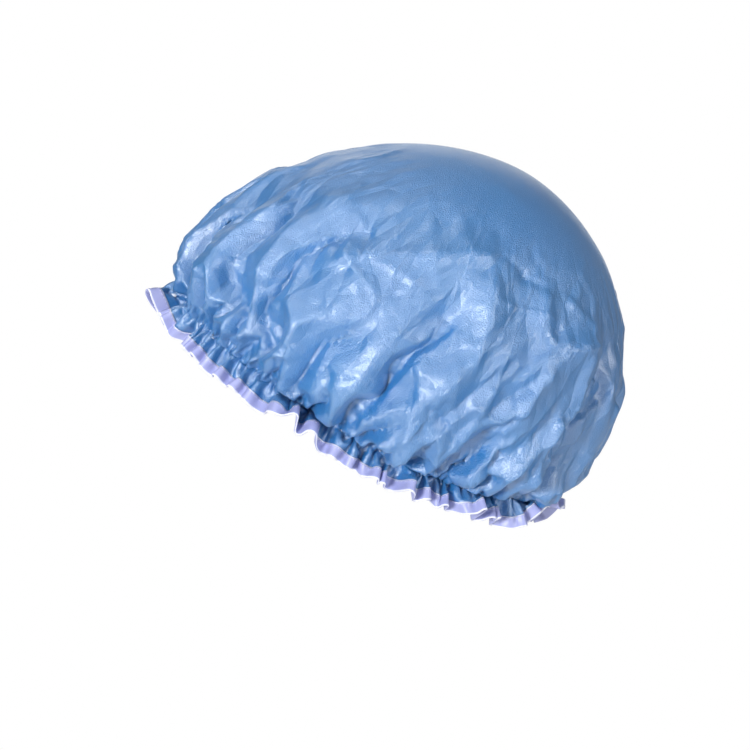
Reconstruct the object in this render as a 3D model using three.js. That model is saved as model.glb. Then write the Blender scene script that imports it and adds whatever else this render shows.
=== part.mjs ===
// A gathered shower cap as it is worn: a satin cover, a waterproof film lining of the same cut, a band
// of elastic sewn inside and a tape folded over the raw edge. Millimetres. +Z is up, -Y is the wearer's
// front and +X the wearer's left. The origin is the middle of the opening, on the line of the elastic.
import * as THREE from "three";

// The opening, on the outer face of the elastic
const openingHalfLength = 114; // half of brow to nape, along the opening
const openingHalfWidth = 76;
const openingSideDrop = 9; // how far the elastic dips over the ears
const openingTilt = THREE.MathUtils.degToRad(30); // nape below brow

// The puffed crown, measured square to the opening
const crownHalfLength = 127;
const crownHalfWidth = 108;
const widestHeight = 38; // from the opening up to the widest level
const widestSetBack = 4; // how far that level sits behind the middle of the opening
const crownRise = 118; // from the widest level up to the top
const crownLean = 15; // how far the top sits behind the widest level
const crownPointedness = 1.08; // 1 is an ellipse, more is a little more pointed

// The frill past the elastic, and how far below the plane of the opening it points
const frillLength = 17;
const frillDipAtBrow = THREE.MathUtils.degToRad(66);
const frillDipAtNape = THREE.MathUtils.degToRad(30);
const frillDipOverEars = THREE.MathUtils.degToRad(52);
const ruffleDepth = 5; // how far the frill's edge waves to each side

// The gathers that the elastic draws in
const gatherCount = 19;
const gatherDepth = 2.6;
const shallowestShare = 0.55; // how deep the shallowest gather is, of the deepest
const depthSwells = 3; // round the cap, where the gathers are deep
const bunchings = [
  { angleShare: 0.07, times: 2, start: 0.6 },
  { angleShare: 0.03, times: 5, start: 2.1 },
]; // where the gathers crowd together round the cap

// Places down the crown are given as a fall: 0 at the top, 1 at the widest level, 2 at the elastic.
// Here, from where to where the gathers grow to their full depth and the main folds die out.
const gatherGrowthShares = [1.1, 1.9];
const foldFadeShares = [1.6, 2];

// The main folds of one side: how far each stands out, as a share of foldHeight, and the places that it
// runs through, in turns from the wearer's left towards the back with a fall. The other side has the same
// ones half a turn on.
const foldHeight = 7;
const foldHalfWidth = 10;
const foldTurnShares = [0, 0.5];
const foldShares = [
  { height: -1, places: [[0, 0.76], [-0.006, 1.16], [-0.006, 1.65]] },
  { height: -1, places: [[-0.097, 0.7], [-0.108, 0.9], [-0.103, 1.25], [-0.083, 1.6]] },
  { height: -0.9, places: [[-0.05, 0.95], [-0.056, 1.36], [-0.056, 1.65]] },
  { height: -0.8, places: [[0.075, 1.12], [0.067, 1.44], [0.064, 1.8]] },
  { height: -0.8, places: [[0.164, 0.66], [0.142, 0.88], [0.15, 1.35]] },
  { height: -0.7, places: [[-0.131, 1.15], [-0.117, 1.45], [-0.111, 1.75]] },
  { height: -0.5, places: [[-0.156, 0.74], [-0.144, 1], [-0.153, 1.5]] },
  { height: -0.8, places: [[0.214, 0.85], [0.206, 1.2], [0.208, 1.65]] },
  { height: -0.7, places: [[0.258, 0.7], [0.264, 1.1], [0.256, 1.6]] },
  { height: -0.8, places: [[0.306, 0.8], [0.297, 1.3], [0.303, 1.7]] },
  { height: 0.5, places: [[-0.083, 0.78], [-0.039, 0.64], [0.008, 0.54], [0.028, 0.72], [0.033, 0.86]] },
  { height: 0.7, places: [[-0.075, 1.5], [-0.072, 1.25], [-0.064, 0.88]] },
  { height: 0.7, places: [[-0.031, 1], [-0.028, 1.35], [-0.031, 1.7]] },
  { height: 0.8, places: [[0.022, 0.96], [0.025, 1.3], [0.022, 1.65]] },
  { height: 0.7, places: [[0.128, 0.64], [0.1, 0.7], [0.083, 0.84], [0.094, 1.15], [0.103, 1.6]] },
  { height: 0.5, places: [[0.128, 0.68], [0.128, 1], [0.125, 1.2]] },
  { height: 0.6, places: [[-0.131, 0.66], [-0.128, 0.95]] },
  { height: 0.7, places: [[-0.175, 1], [-0.158, 1.35], [-0.133, 1.65]] },
  { height: 0.7, places: [[0.183, 0.7], [0.178, 1.1], [0.181, 1.6]] },
  { height: 0.7, places: [[0.236, 0.75], [0.233, 1.2], [0.233, 1.65]] },
  { height: 0.7, places: [[0.283, 0.7], [0.281, 1.15], [0.278, 1.65]] },
  { height: 0.6, places: [[0.331, 0.8], [0.328, 1.3]] },
];

// Cloth, film, tape and elastic, a little thicker than the real ones so that each is a sound solid
const coverThickness = 0.5;
const liningThickness = 0.5;
const layerClearance = 0.5; // between the cover and the lining
const tapeThickness = 0.5;
const tapeWidth = 6.5; // of the finished binding, on each face
const tapeClearance = 0.4;
const tapeLapGathers = 0.75; // how far the tape's ends lie over each other, in gathers
const elasticWidth = 6;
const elasticThickness = 1;
const elasticLap = 18;
const elasticClearance = 0.6;

const fullTurn = 2 * Math.PI;
const quarterTurn = Math.PI / 2;
const columnsPerGather = 4;
const columnCount = gatherCount * columnsPerGather;
const elasticStepCount = 78;
const offsetRounds = 12;

// The crown's rows below the top. step is how many columns lie between two of a row's points, so that
// the facets stay of even size.
const crownRowShares = [
  { fall: 0.22, step: 4 },
  { fall: 0.45, step: 4 },
  { fall: 0.66, step: 2 },
  { fall: 0.87, step: 1 },
  { fall: 1.1, step: 1 },
  { fall: 1.4, step: 1 },
  { fall: 1.75, step: 1 },
];

// Offsets of the layers' faces from the middle surface, which runs between cover and lining
const coverFaces = { outer: layerClearance / 2 + coverThickness, inner: layerClearance / 2 };
const liningFaces = { outer: -layerClearance / 2, inner: -layerClearance / 2 - liningThickness };
const tapeInnerOffset = Math.max(coverFaces.outer, -liningFaces.inner) + tapeClearance;
const neckStandOff = elasticClearance - liningFaces.inner;

// The direction of a column round the cap, from the wearer's left towards the back
function columnAngle(column) {
  const even = (fullTurn * column) / columnCount;
  return bunchings.reduce((angle, b) => angle + b.angleShare * Math.sin(b.times * even + b.start), even);
}

// How far a column stands out with the gathers, from -1 in a valley to 1 on a ridge. Two neighbouring
// columns share each ridge and each valley, so that both are blunt.
function gatherWave(column) {
  const even = (fullTurn * column) / columnCount;
  const swell = (1 + Math.sin(depthSwells * even)) / 2;
  const blunt = Math.SQRT2 * Math.cos(gatherCount * even + quarterTurn / 2);
  return THREE.MathUtils.lerp(shallowestShare, 1, swell) * blunt;
}

// The unit direction square to the opening's outline
function outwards(angle) {
  return new THREE.Vector3(
    openingHalfLength * Math.cos(angle),
    openingHalfWidth * Math.sin(angle),
    0,
  ).normalize();
}

function openingPoint(angle, standOff, height) {
  const drop = openingSideDrop * Math.cos(angle) ** 2;
  return new THREE.Vector3(
    openingHalfWidth * Math.cos(angle),
    openingHalfLength * Math.sin(angle),
    height - drop,
  ).addScaledVector(outwards(angle), standOff);
}

// The crown without its folds
function crownPoint(angle, fall) {
  if (fall <= 1) {
    const out = Math.sin(fall * quarterTurn) ** crownPointedness;
    const up = Math.cos(fall * quarterTurn) ** crownPointedness;
    return new THREE.Vector3(
      crownHalfWidth * out * Math.cos(angle),
      crownHalfLength * out * Math.sin(angle) + widestSetBack + crownLean * up,
      widestHeight + crownRise * up,
    );
  }
  const tuck = (fall - 1) * quarterTurn;
  const neck = openingPoint(angle, neckStandOff + gatherDepth, 0);
  const widest = crownPoint(angle, 1);
  return new THREE.Vector3(
    neck.x + (widest.x - neck.x) * Math.cos(tuck),
    neck.y + (widest.y - neck.y) * Math.cos(tuck),
    widest.z + (neck.z - widest.z) * Math.sin(tuck),
  );
}

// The main folds of the whole cap, as lines from place to place on the smooth crown
const folds = foldTurnShares.flatMap((turned) =>
  foldShares.map(({ height, places }) => {
    const points = places.map(([round, fall]) => crownPoint(fullTurn * (turned + round), fall));
    return { height, lines: points.slice(1).map((point, i) => new THREE.Line3(points[i], point)) };
  }),
);

// How far the main folds stand out at a point of the smooth crown
function foldHeightAt(point) {
  const nearest = new THREE.Vector3();
  const heights = folds.map(({ height, lines }) => {
    const distances = lines.map((l) => point.distanceTo(l.closestPointToPoint(point, true, nearest)));
    return height * Math.exp(-((Math.min(...distances) / foldHalfWidth) ** 2));
  });
  return foldHeight * heights.reduce((total, height) => total + height);
}

function foldedCrownPoint(column, fall) {
  const angle = columnAngle(column);
  const smooth = crownPoint(angle, fall);
  const gathers = gatherDepth * THREE.MathUtils.smoothstep(fall, ...gatherGrowthShares);
  const left = 1 - THREE.MathUtils.smoothstep(fall, ...foldFadeShares);
  const height = gathers * gatherWave(column) + left * foldHeightAt(smooth);
  return smooth.addScaledVector(outwards(angle), height);
}

function neckPoint(column) {
  const standOff = neckStandOff + gatherDepth * (1 + gatherWave(column));
  return openingPoint(columnAngle(column), standOff, 0);
}

// The frill hangs from the line of the elastic and waves more towards its edge
function frillPoint(column, along) {
  const angle = columnAngle(column);
  const dipAtEnd = Math.sin(angle) < 0 ? frillDipAtBrow : frillDipAtNape;
  const dip = THREE.MathUtils.lerp(dipAtEnd, frillDipOverEars, Math.cos(angle) ** 2);
  const out = outwards(angle);
  const up = new THREE.Vector3(0, 0, 1);
  const run = out.clone().multiplyScalar(Math.cos(dip)).addScaledVector(up, -Math.sin(dip));
  const side = out.clone().multiplyScalar(Math.sin(dip)).addScaledVector(up, Math.cos(dip));
  const wave = (ruffleDepth * gatherWave(column) * along) / frillLength;
  return neckPoint(column).addScaledVector(run, along).addScaledVector(side, wave);
}

// The rows of the middle surface, from the one point at the top to the edge of the frill
const rows = [
  { step: columnCount, at: () => crownPoint(0, 0) },
  ...crownRowShares.map(({ fall, step }) => ({
    step,
    at: (column) => foldedCrownPoint(column, fall),
  })),
  { step: 1, at: (column) => neckPoint(column) },
  { step: 1, at: (column) => frillPoint(column, frillLength - tapeWidth) },
  { step: 1, at: (column) => frillPoint(column, frillLength) },
];
const tapeTopRow = rows.length - 2;
const edgeRow = rows.length - 1;

// The triangles between two neighbouring rows, facing out, as pairs of row and column
function stripTriangles(upper) {
  const lower = upper + 1;
  const { step } = rows[lower];
  const triangles = [];
  for (let column = 0; column < columnCount; column += step) {
    const next = (column + step) % columnCount;
    const above = column - (column % rows[upper].step);
    const nextAbove = next - (next % rows[upper].step);
    triangles.push([[upper, above], [lower, column], [lower, next]]);
    if (nextAbove !== above) triangles.push([[upper, above], [lower, next], [upper, nextAbove]]);
  }
  return triangles;
}

// The move that carries a corner off the middle surface by one on each of the faces that meet there
function offsetOf(normals) {
  const offset = new THREE.Vector3();
  for (let round = 0; round < offsetRounds; round += 1) {
    const pull = new THREE.Vector3();
    for (const normal of normals) pull.addScaledVector(normal, 1 - normal.dot(offset));
    offset.addScaledVector(pull, 1 / normals.length);
  }
  return offset;
}

// The middle surface: its points by row and column, and at each the move that carries a layer's face off it
function middleSurface() {
  const points = rows.map((row) => {
    const placed = new Map();
    for (let column = 0; column < columnCount; column += row.step) placed.set(column, row.at(column));
    return placed;
  });
  const triangles = rows.slice(1).flatMap((_, upper) => stripTriangles(upper));
  const faces = points.map((row) => new Map([...row.keys()].map((column) => [column, []])));
  for (const triangle of triangles) {
    const [a, b, c] = triangle.map(([row, column]) => points[row].get(column));
    const normal = new THREE.Triangle(a, b, c).getNormal(new THREE.Vector3());
    for (const [row, column] of triangle) faces[row].get(column).push(normal);
  }
  const offsets = faces.map(
    (row) => new Map([...row].map(([column, normals]) => [column, offsetOf(normals)])),
  );
  return { points, offsets, triangles };
}

const middle = middleSurface();

function layerPoint(row, column, offset) {
  return middle.points[row].get(column).clone().addScaledVector(middle.offsets[row].get(column), offset);
}

function geometryOf(corners) {
  const geometry = new THREE.BufferGeometry().setFromPoints(corners);
  geometry.computeVertexNormals();
  return geometry;
}

// A layer of the cap from the top to the frill's edge, between two faces
function layerGeometry(faces) {
  const corners = [];
  for (const triangle of middle.triangles) {
    const [a, b, c] = triangle;
    for (const [row, column] of [a, b, c]) corners.push(layerPoint(row, column, faces.outer));
    for (const [row, column] of [a, c, b]) corners.push(layerPoint(row, column, faces.inner));
  }
  for (let column = 0; column < columnCount; column += 1) {
    const next = (column + 1) % columnCount;
    const outer = [column, next].map((c) => layerPoint(edgeRow, c, faces.outer));
    const inner = [column, next].map((c) => layerPoint(edgeRow, c, faces.inner));
    corners.push(outer[0], inner[0], inner[1], outer[0], inner[1], outer[1]);
  }
  return geometryOf(corners);
}

// A long strip through cross-sections, each a row of pairs: a point on the strip's outer face and the
// one behind it on its inner face
function stripGeometry(sections) {
  const corners = [];
  const quad = (a, b, c, d) => corners.push(a, b, c, a, c, d);
  const crossQuad = (a, b, c, d) => corners.push(a, b, d, b, c, d);
  const last = sections[0].length - 1;
  for (let i = 0; i + 1 < sections.length; i += 1) {
    const here = sections[i];
    const there = sections[i + 1];
    for (let j = 0; j < last; j += 1) {
      const split = j < last / 2 ? quad : crossQuad;
      split(here[j].outer, here[j + 1].outer, there[j + 1].outer, there[j].outer);
      split(here[j].inner, there[j].inner, there[j + 1].inner, here[j + 1].inner);
    }
    quad(here[0].inner, here[0].outer, there[0].outer, there[0].inner);
    quad(here[last].outer, here[last].inner, there[last].inner, there[last].outer);
  }
  const start = sections[0];
  const end = sections[sections.length - 1];
  for (let j = 0; j < last; j += 1) {
    quad(start[j].outer, start[j].inner, start[j + 1].inner, start[j + 1].outer);
    quad(end[j].outer, end[j + 1].outer, end[j + 1].inner, end[j].inner);
  }
  return geometryOf(corners);
}

// The tape folded over the edge. lift carries the last end outside the first, where they lap.
function tapeSection(column, lift) {
  const at = (row, past, offset) => {
    const run = middle.points[edgeRow].get(column).clone().sub(middle.points[tapeTopRow].get(column));
    return layerPoint(row, column, offset).addScaledVector(run.normalize(), past);
  };
  const inner = tapeInnerOffset + lift;
  const outer = inner + tapeThickness;
  const innerFold = tapeClearance + lift;
  const outerFold = innerFold + tapeThickness;
  return [
    { outer: at(tapeTopRow, 0, outer), inner: at(tapeTopRow, 0, inner) },
    { outer: at(edgeRow, 0, outer), inner: at(edgeRow, 0, inner) },
    { outer: at(edgeRow, outerFold, inner), inner: at(edgeRow, innerFold, inner - tapeClearance) },
    { outer: at(edgeRow, outerFold, -inner), inner: at(edgeRow, innerFold, tapeClearance - inner) },
    { outer: at(edgeRow, 0, -outer), inner: at(edgeRow, 0, -inner) },
    { outer: at(tapeTopRow, 0, -outer), inner: at(tapeTopRow, 0, -inner) },
  ];
}

function tapeGeometry() {
  const start = columnCount / 4; // at the nape
  const lapColumns = Math.round(tapeLapGathers * columnsPerGather);
  const sections = [];
  for (let i = 0; i <= columnCount + lapColumns; i += 1) {
    const lapped = i >= columnCount;
    sections.push(tapeSection((start + i) % columnCount, lapped ? tapeThickness + tapeClearance : 0));
  }
  return stripGeometry(sections);
}

// The elastic lies flat against the lining's gathers. Its last end passes inside the first.
function elasticGeometry() {
  const start = quarterTurn; // at the nape
  const lap = elasticLap / openingHalfWidth;
  const sections = [];
  for (let i = 0; i <= elasticStepCount; i += 1) {
    const angle = start + ((fullTurn + lap) * i) / elasticStepCount;
    const inside = THREE.MathUtils.smoothstep(angle, start + fullTurn - lap, start + fullTurn);
    const face = -(elasticThickness + elasticClearance) * inside;
    sections.push(
      [elasticWidth / 2, -elasticWidth / 2].map((height) => ({
        outer: openingPoint(angle, face, height),
        inner: openingPoint(angle, face - elasticThickness, height),
      })),
    );
  }
  return stripGeometry(sections);
}

function piece(name, geometry, look) {
  const mesh = new THREE.Mesh(geometry, new THREE.MeshStandardMaterial(look));
  mesh.name = name;
  return mesh;
}

const cap = new THREE.Group();
const worn = new THREE.Group();
worn.rotation.x = -openingTilt;
worn.add(
  piece("satin_cover", layerGeometry(coverFaces), { color: 0x5b92cf, roughness: 0.35, metalness: 0 }),
  piece("film_lining", layerGeometry(liningFaces), { color: 0xe8edf3, roughness: 0.3, metalness: 0 }),
  piece("edge_binding", tapeGeometry(), { color: 0xc3c4ea, roughness: 0.4, metalness: 0 }),
  piece("elastic_band", elasticGeometry(), { color: 0xf2f2ee, roughness: 0.8, metalness: 0 }),
);
cap.add(worn);

export default cap;
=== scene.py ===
# The looks of a gathered satin shower cap as it is worn: cloth drawn in on an elastic, a film lining,
# a folded ribbon round the frill and the stitches that hold them.
import math
from collections import namedtuple

import bpy
import numpy as np
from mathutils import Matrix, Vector


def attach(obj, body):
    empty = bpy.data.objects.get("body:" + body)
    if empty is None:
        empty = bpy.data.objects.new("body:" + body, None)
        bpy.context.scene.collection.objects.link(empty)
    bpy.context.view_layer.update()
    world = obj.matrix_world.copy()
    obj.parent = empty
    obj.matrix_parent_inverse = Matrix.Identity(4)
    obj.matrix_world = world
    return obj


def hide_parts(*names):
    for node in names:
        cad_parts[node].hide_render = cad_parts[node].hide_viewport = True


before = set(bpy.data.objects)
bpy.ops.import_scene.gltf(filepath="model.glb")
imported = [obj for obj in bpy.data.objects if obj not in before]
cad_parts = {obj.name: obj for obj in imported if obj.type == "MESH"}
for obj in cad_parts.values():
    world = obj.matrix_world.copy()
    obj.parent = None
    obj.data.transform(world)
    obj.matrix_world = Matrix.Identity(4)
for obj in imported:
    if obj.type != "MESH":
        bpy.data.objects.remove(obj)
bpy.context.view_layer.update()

MM = 0.001
TURN = 2 * math.pi
TINY = 1e-6  # added to a divisor that can be nothing

# The smooth cap, in millimetres, as the solids have it
OPENING_TILT = math.radians(30)  # nape below brow
OPENING_HALF = (76.0, 114.0)  # across and along
OPENING_SIDE_DROP = 9.0
CROWN_HALF = (108.0, 127.0)
WIDEST_HEIGHT = 38.0
WIDEST_SET_BACK = 4.0
CROWN_RISE = 118.0
CROWN_LEAN = 15.0
CROWN_POINTEDNESS = 1.08
FRILL_DIPS = {"brow": 66.0, "nape": 30.0, "ears": 52.0}  # degrees below the opening's plane
NECK_STAND_OFF = 3.4  # from the elastic's outer face to the middle of the gathers
FALL_STEPS = 180  # in which a line down the crown is measured

# The flat cut, a round one: radii of its rows from the middle
TOP_RADIUS = 45.0  # the cloth is smooth inside it
NECK_RADIUS = 234.0  # where the elastic is sewn
EDGE_RADIUS = 251.0
RIBBON_WIDTH = 6.4  # on each face

# How much longer the cloth is than the smooth cap, round each radius of the cut
EXCESS_RADII = [0, 80, 110, 140, 165, 185, 205, 218, 228, 234, 239, 245, 251]
EXCESS_SHARES = [1, 1, 1.03, 1.07, 1.11, 1.20, 1.36, 1.62, 1.95, 2.15, 2.15, 2.15, 2.15]
LEVEL_SHARES = [0.45, 0.7, 0.88, 1]  # how much of the excess is there at each level

# The grid: columns and rows double at each level of the simulation
FIRST_COLUMNS = 120
COLUMN_DRIFTS = [(0.07, 2, 0.6), (0.03, 5, 2.1)]  # from even ones: size, waves round the cap and phase
ROW_CROWDING = 0.28  # towards the elastic
ROW_CROWDING_POWER = 2.2
LEVELS = 4
CROWN_ROWS = 16 << (LEVELS - 1)
FRILL_ROWS = 2 << (LEVELS - 1)

# How far a point may lie from the smooth cap, by radius: inwards, outwards and sideways
LIMIT_RADII = [45, 70, 100, 150, 190, 215, 228, 234, 240, 251]
LIMIT_IN = [-0.3, -0.8, -2.0, -3.5, -4.5, -5.0, -4.0, -2.7, -5.0, -10]
LIMIT_OUT = [0.3, 0.8, 2.0, 3.0, 4.0, 4.5, 4.0, 3.0, 5.0, 10]
LIMIT_SIDE = [0.5, 1.5, 2.0, 3.0, 3.5, 4.0, 2.5, 1.5, 3.5, 8.0]
ELASTIC_ROWS = (229.5, 238.5)  # the radii between which the elastic lies inside the cloth
DEEPEST_AT_ELASTIC = -2.7  # in from the smooth cap
GROOVE_RADII = (222, 243)  # between which the crown and the frill keep out of each other's folds
GROOVE_ROOM_SHARE = 0.2  # of a row's distance from the elastic's
HOLD_RADII = [45, 80, 120, 180, 215, 228, 251]
FOLD_FADE_RADII = (213, 234)  # the main folds end just above the elastic
LEAST_EXCESS_RADII = [60, 110, 150]
LEAST_EXCESS_SHARES = [1, 1.02, 1.05]
DOWN_EXCESS_RADII = [60, 90, 120, 190, 215, 230]
DOWN_EXCESS_SHARES = [1, 1.003, 1.02, 1.03, 1.01, 1]
ACROSS_PULL = 0.8
DOWN_PULL = 0.6
SLANT_PULL = 0.35
APART_PULL = 0.3  # that keeps every third column apart, so that no fold closes
APART_COLUMNS = 3
APART_SHARE = 1.2
MOMENTUM = 0.9
LEAST_ADVANCE = 0.2  # of each step's length, so that no fold lies over itself
UNTANGLING_STEPS = 12
ROUGHNESS = 0.6  # of the cloth before it settles


def smoothstep(x, low, high):
    t = np.clip((x - low) / (high - low), 0, 1)
    return t * t * (3 - 2 * t)


def length(v):
    return np.sqrt((v * v).sum(0))


def unit(v):
    return v / (length(v) + 1e-12)


def cross(a, b):
    return np.stack([
        a[1] * b[2] - a[2] * b[1],
        a[2] * b[0] - a[0] * b[2],
        a[0] * b[1] - a[1] * b[0],
    ])


def step_lengths(line, axis=1):
    return length(np.diff(line, axis=axis))


def running_total(steps):
    """The total before each of the steps and after the last."""
    return np.concatenate([np.zeros_like(steps[:1]), np.cumsum(steps, 0)])


# The smooth cap


def outwards(angle):
    return unit(np.stack([OPENING_HALF[1] * np.cos(angle), OPENING_HALF[0] * np.sin(angle)]))


def opening_point(angle, off, height=0.0):
    out = outwards(angle)
    return np.stack([
        OPENING_HALF[0] * np.cos(angle) + off * out[0],
        OPENING_HALF[1] * np.sin(angle) + off * out[1],
        height - OPENING_SIDE_DROP * np.cos(angle) ** 2,
    ])


def crown_point(angle, fall):
    """fall is 0 at the top, 1 at the widest level and 2 at the elastic."""
    turn = np.minimum(fall, 1) * math.pi / 2
    out = np.sin(turn) ** CROWN_POINTEDNESS
    up = np.clip(np.cos(turn), 0, 1) ** CROWN_POINTEDNESS
    high = np.stack([
        CROWN_HALF[0] * out * np.cos(angle),
        CROWN_HALF[1] * out * np.sin(angle) + WIDEST_SET_BACK + CROWN_LEAN * up,
        WIDEST_HEIGHT + CROWN_RISE * up,
    ])
    tuck = np.clip(fall - 1, 0, 1) * math.pi / 2
    neck = opening_point(angle, NECK_STAND_OFF)
    low = np.stack([
        neck[0] + (high[0] - neck[0]) * np.cos(tuck),
        neck[1] + (high[1] - neck[1]) * np.cos(tuck),
        high[2] + (neck[2] - high[2]) * np.sin(tuck),
    ])
    return np.where(fall > 1, low, high)


def level_outwards(angles):
    out = outwards(angles)
    return np.stack([out[0], out[1], np.zeros_like(angles)])[:, None, :].astype(np.float32)


def frill_run(angle):
    """The direction in which the frill hangs from the elastic."""
    out = outwards(angle)
    end = np.where(np.sin(angle) < 0, FRILL_DIPS["brow"], FRILL_DIPS["nape"])
    dip = np.radians(end + (FRILL_DIPS["ears"] - end) * np.cos(angle) ** 2)
    return np.stack([out[0] * np.cos(dip), out[1] * np.cos(dip), -np.sin(dip)])


def smooth_cap(angles, radii):
    """Points (3, rows, columns) of the smooth cap at the flat cut's radii."""
    falls = np.linspace(0, 2, FALL_STEPS + 1)
    grid_angles, grid_falls = np.broadcast_arrays(angles[None, :], falls[:, None])
    line = crown_point(grid_angles, grid_falls)
    arc = running_total(step_lengths(line))
    share = np.minimum(radii, NECK_RADIUS) / NECK_RADIUS
    points = np.empty((3, len(radii), len(angles)))
    for column in range(len(angles)):
        along = share * arc[-1, column]
        for axis in range(3):
            points[axis, :, column] = np.interp(along, arc[:, column], line[axis, :, column])
    past = np.maximum(radii - NECK_RADIUS, 0)
    return points + frill_run(angles)[:, None, :] * past[None, :, None]


def column_angles(columns):
    even = TURN * np.arange(columns) / columns
    return sum((size * np.sin(waves * even + phase) for size, waves, phase in COLUMN_DRIFTS), even)


def row_radii():
    """The simulated rows, closer together towards the elastic, which lies on one of them."""
    t = np.linspace(0, 1, CROWN_ROWS + 1)
    share = (1 + ROW_CROWDING) * t - ROW_CROWDING * t ** ROW_CROWDING_POWER
    crown = TOP_RADIUS + (NECK_RADIUS - TOP_RADIUS) * share
    frill = np.linspace(NECK_RADIUS, EDGE_RADIUS, FRILL_ROWS + 1)
    return np.concatenate([crown, frill[1:]])


def by_row(radii, at, values):
    return np.interp(radii, at, values)[:, None].astype(np.float32)


def surface_frame(points):
    """The unit normals of a grid of points, facing out."""
    across = np.roll(points, -1, 2) - np.roll(points, 1, 2)
    return unit(cross(np.gradient(points, axis=1), across))


# The folds

FOLD_SEED = 11
CREASE_SEED = 5
CRUMPLE_SEED = 8
DRIFT_POINTS = 8
LEAST_WAVE_SHARE = 0.4  # of the largest one's size


class Gathers:
    """Waves round the cap, near count of them, that drift as they run up it. heights gives their size at
    each of the radii."""

    def __init__(self, random, count, spread, radii, heights, drift=0.44, parts=9):
        self.radii, self.heights = radii, heights
        self.counts = np.round(count * (1 + spread * random.uniform(-1, 1, parts)))
        self.shares = random.uniform(LEAST_WAVE_SHARE, 1, parts)
        self.shares /= np.sqrt((self.shares ** 2).sum() / 2)
        self.drift_radii = np.linspace(TOP_RADIUS, EDGE_RADIUS, DRIFT_POINTS)
        start = random.uniform(0, TURN, parts)
        self.phases = start + np.cumsum(random.normal(0, drift, (DRIFT_POINTS, parts)), 0)

    def __call__(self, radii, columns):
        round_cap = TURN * np.arange(columns)[None, :] / columns
        total = np.zeros((len(radii), columns))
        for share, count, phases in zip(self.shares, self.counts, self.phases.T):
            phase = np.interp(radii, self.drift_radii, phases)[:, None]
            total += share * np.cos(count * round_cap + phase)
        return by_row(radii, self.radii, self.heights) * total.astype(np.float32)


random = np.random.default_rng(FOLD_SEED)
gathers = [
    Gathers(random, 21, 0.35, [105, 150, 190, 215, 230], [0, 0.6, 1.4, 1.2, 0]),
    Gathers(random, 36, 0.25, [140, 180, 218, 229, 234, 240, 251],
            [0, 1.0, 2.0, 0.8, 0.3, 2.4, 5.6], drift=0.66),
    Gathers(random, 62, 0.25, [200, 220, 230, 236, 251], [0, 1.5, 1.2, 0.5, 1.6], drift=0.88),
    Gathers(random, 104, 0.2, [222, 230, 234, 239, 245], [0, 0.8, 1.3, 0.8, 0.1], drift=1.1),
]
GATHERS_BY_LEVEL = [2, 3, 4, 4]  # how many of them are there

# The main folds of one side, as the solids have them: height, as a share of FOLD_HEIGHT, and places as
# turns round from the wearer's left towards the back with the fall. The other side has the same ones half
# a turn on.
FOLD_HEIGHT = 7.0
FOLD_HALF_WIDTH = 10.0
FOLD_TURN_SHARES = (0, 0.5)
FOLD_SHARES = [
    (-1, [(0, 0.76), (-0.006, 1.16), (-0.006, 1.65)]),
    (-1, [(-0.097, 0.7), (-0.108, 0.9), (-0.103, 1.25), (-0.083, 1.6)]),
    (-0.9, [(-0.05, 0.95), (-0.056, 1.36), (-0.056, 1.65)]),
    (-0.8, [(0.075, 1.12), (0.067, 1.44), (0.064, 1.8)]),
    (-0.8, [(0.164, 0.66), (0.142, 0.88), (0.15, 1.35)]),
    (-0.7, [(-0.131, 1.15), (-0.117, 1.45), (-0.111, 1.75)]),
    (-0.5, [(-0.156, 0.74), (-0.144, 1), (-0.153, 1.5)]),
    (-0.8, [(0.214, 0.85), (0.206, 1.2), (0.208, 1.65)]),
    (-0.7, [(0.258, 0.7), (0.264, 1.1), (0.256, 1.6)]),
    (-0.8, [(0.306, 0.8), (0.297, 1.3), (0.303, 1.7)]),
    (0.5, [(-0.083, 0.78), (-0.039, 0.64), (0.008, 0.54), (0.028, 0.72), (0.033, 0.86)]),
    (0.7, [(-0.075, 1.5), (-0.072, 1.25), (-0.064, 0.88)]),
    (0.7, [(-0.031, 1), (-0.028, 1.35), (-0.031, 1.7)]),
    (0.8, [(0.022, 0.96), (0.025, 1.3), (0.022, 1.65)]),
    (0.7, [(0.128, 0.64), (0.1, 0.7), (0.083, 0.84), (0.094, 1.15), (0.103, 1.6)]),
    (0.5, [(0.128, 0.68), (0.128, 1), (0.125, 1.2)]),
    (0.6, [(-0.131, 0.66), (-0.128, 0.95)]),
    (0.7, [(-0.175, 1), (-0.158, 1.35), (-0.133, 1.65)]),
    (0.7, [(0.183, 0.7), (0.178, 1.1), (0.181, 1.6)]),
    (0.7, [(0.236, 0.75), (0.233, 1.2), (0.233, 1.65)]),
    (0.7, [(0.283, 0.7), (0.281, 1.15), (0.278, 1.65)]),
    (0.6, [(0.331, 0.8), (0.328, 1.3)]),
]

# The main gathers and the frill's ruffles, as the solids have them too
GATHER_COUNT = 19
GATHER_DEPTH = 2.6
GATHER_SWELLS = 3  # round the cap, where they are deep
SHALLOWEST_GATHER = 0.55
GATHER_GROWTH_RADII = (187, 229)
RUFFLE_DEPTH = 4.5

# Where the frill flips out or in: turns round from the wearer's left, half width in turns, and millimetres
# at its edge
FLIPS = [
    (-0.034, 0.020, 14),
    (-0.072, 0.014, -5),
    (0.004, 0.014, -5),
    (0.042, 0.012, -4),
    (-0.238, 0.016, -5),
    (-0.205, 0.014, 10),
    (-0.165, 0.014, -4),
    (0.194, 0.018, 6),
    (0.31, 0.02, 7),
    (0.47, 0.022, 8),
    (0.60, 0.016, -4),
    (0.66, 0.020, 7),
]

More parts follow.
